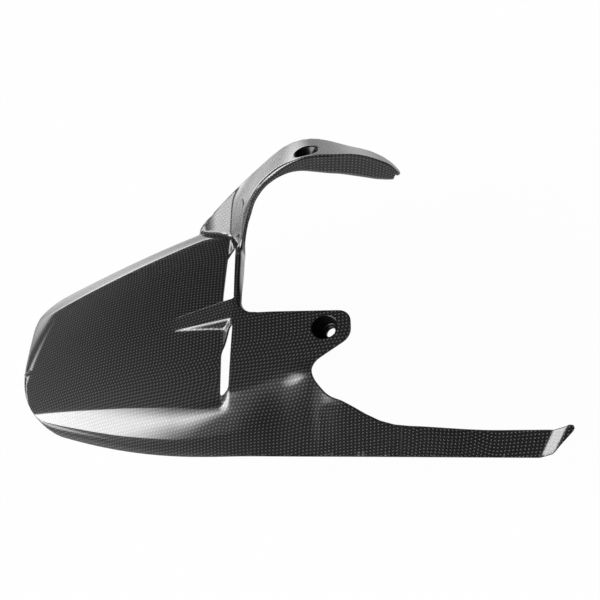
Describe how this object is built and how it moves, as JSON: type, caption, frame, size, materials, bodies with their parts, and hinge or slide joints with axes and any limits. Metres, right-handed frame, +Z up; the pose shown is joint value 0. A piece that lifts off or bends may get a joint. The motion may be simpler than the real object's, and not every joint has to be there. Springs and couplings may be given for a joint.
{
  "type": "motorcycle rear hugger mudguard",
  "caption": "Thin carbon-fibre mudguard shell that sits close over a rear tyre, with a slotted step, a bolt ear, a raised hook mount and a long guard arm.",
  "frame": {"origin": "middle of the ear's bolt hole, half way through the laminate", "axes": "+X forward along the motorcycle, +Y across the wheel from the chain side to the hook side, +Z up"},
  "size_m": [0.4773, 0.2543, 0.2216],
  "materials": {
    "carbon": "plain-weave carbon fibre laminate under a gloss clear coat"
  },
  "bodies": {
    "root": {"hugger_shell": "carbon"}
  },
  "joints": []
}
